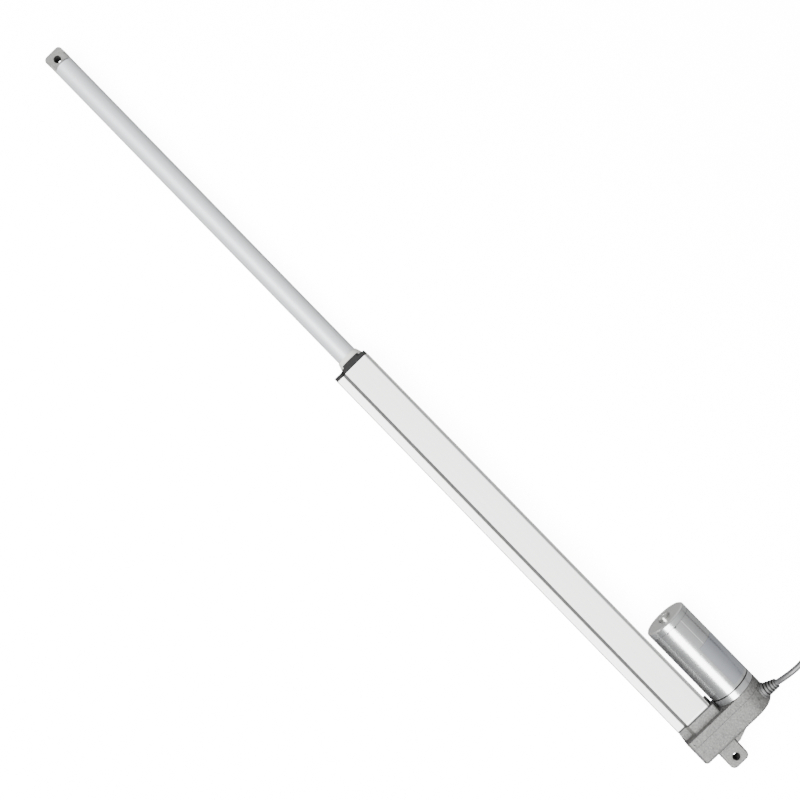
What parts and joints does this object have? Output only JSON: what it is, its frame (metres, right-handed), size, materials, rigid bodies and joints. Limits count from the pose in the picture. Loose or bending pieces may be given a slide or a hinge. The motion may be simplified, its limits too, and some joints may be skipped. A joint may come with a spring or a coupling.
{
  "type": "electric linear actuator",
  "caption": "Long-stroke electric linear actuator, extended: extruded tube, sliding rod, cast gearbox and a parallel cylindrical motor, with an eye at each end and a cable.",
  "frame": {"origin": "centre of the rear eye's bore", "axes": "+X along the rod towards the front eye, +Z along the eye bores towards the viewer of the picture, the motor on the -Y side"},
  "size_m": [0.8946, 0.2423, 0.0514],
  "materials": {
    "cast_alloy": "fine-grained die casting, matt grey",
    "anodised_profile": "clear satin anodised extrusion",
    "anodised_rod": "clear matt anodised tube",
    "motor_steel": "zinc-plated satin steel",
    "screw_steel": "ground steel",
    "fastener_steel": "zinc-plated screws",
    "bearing_steel": "polished bearing steel",
    "black_plastic": "charcoal moulded nylon",
    "wiper_grey": "light grey wiper compound",
    "seal_black": "black sealing rubber",
    "guide_plastic": "natural acetal",
    "gear_plastic": "natural acetal gears",
    "bronze": "sintered bronze",
    "copper": "enamelled copper",
    "core_steel": "laminated core steel",
    "ferrite": "ferrite magnet",
    "carbon": "carbon brush",
    "board_green": "circuit board",
    "switch_black": "switch case",
    "cable_grey": "grey cable sheath",
    "grommet_grey": "grey moulded strain relief",
    "lead_colours": "insulated leads",
    "label_silver": "bare silvery film"
  },
  "bodies": {
    "housing": {"profile_tube": "anodised_profile", "front_cap": "black_plastic", "wiper_ring": "wiper_grey", "guide_bush": "guide_plastic", "cap_screws": "fastener_steel", "bearing_outer_ring": "bearing_steel", "idler_pin": "screw_steel", "gearbox_rear_housing": "cast_alloy", "gearbox_gasket": "seal_black", "gearbox_front_housing": "cast_alloy", "gearbox_screws": "fastener_steel", "rear_eye": "cast_alloy", "rear_bush": "bronze", "motor_seal": "seal_black", "motor_front_plate": "motor_steel", "motor_can": "motor_steel", "motor_rear_cap": "motor_steel", "motor_front_bush": "bronze", "motor_rear_bush": "bronze", "motor_magnets": "ferrite", "motor_brushes": "carbon", "brush_holder": "switch_black", "motor_screws": "fastener_steel", "motor_label": "label_silver", "limit_board": "board_green", "limit_switches": "switch_black", "limit_leads": "lead_colours", "cable_grommet": "grommet_grey", "cable_inner_end": "cable_grey", "cable": "cable_grey", "cable_coil": "cable_grey", "cable_leads": "lead_colours"},
    "rod": {"rod_tube": "anodised_rod", "front_eye": "cast_alloy", "drive_nut": "guide_plastic"},
    "screw": {"lead_screw": "screw_steel", "screw_end_stop": "guide_plastic", "bearing_inner_ring": "bearing_steel", "output_gear": "gear_plastic"},
    "idler": {"idler_gear": "gear_plastic"},
    "rotor": {"motor_shaft": "screw_steel", "motor_pinion": "screw_steel", "armature_core": "core_steel", "armature_windings": "copper", "commutator": "copper"},
    "button_front": {"limit_button_front": "switch_black"},
    "button_rear": {"limit_button_rear": "switch_black"}
  },
  "joints": [
    {"name": "rotor_spin", "type": "hinge", "parent": "housing", "child": "rotor", "pos_m": [0.08, -0.04, 0], "axis": [1, 0, 0], "range_deg": [0, 224000]},
    {"name": "idler_spin", "type": "hinge", "parent": "housing", "child": "idler", "pos_m": [0.03, -0.022, 0], "axis": [1, 0, 0], "range_deg": [-112720, 720]},
    {"name": "screw_spin", "type": "hinge", "parent": "housing", "child": "screw", "pos_m": [0.04, 0, 0], "axis": [1, 0, 0], "range_deg": [-360, 42360]},
    {"name": "rod_slide", "type": "slide", "parent": "housing", "child": "rod", "axis": [1, 0, 0], "range_m": [-0.35, 0]},
    {"name": "front_button", "type": "slide", "parent": "housing", "child": "button_front", "axis": [0, 1, 0], "range_m": [0, 0.0005], "stiffness_N_per_m": 300},
    {"name": "rear_button", "type": "slide", "parent": "housing", "child": "button_rear", "axis": [0, 1, 0], "range_m": [0, 0.0005], "stiffness_N_per_m": 300}
  ],
  "couplings": [
    {"joint": "idler_spin", "follows": "rotor_spin", "ratio": -0.5},
    {"joint": "screw_spin", "follows": "rotor_spin", "ratio": 0.1875},
    {"joint": "rod_slide", "follows": "rotor_spin", "m_per_rad": -0.000089524}
  ]
}
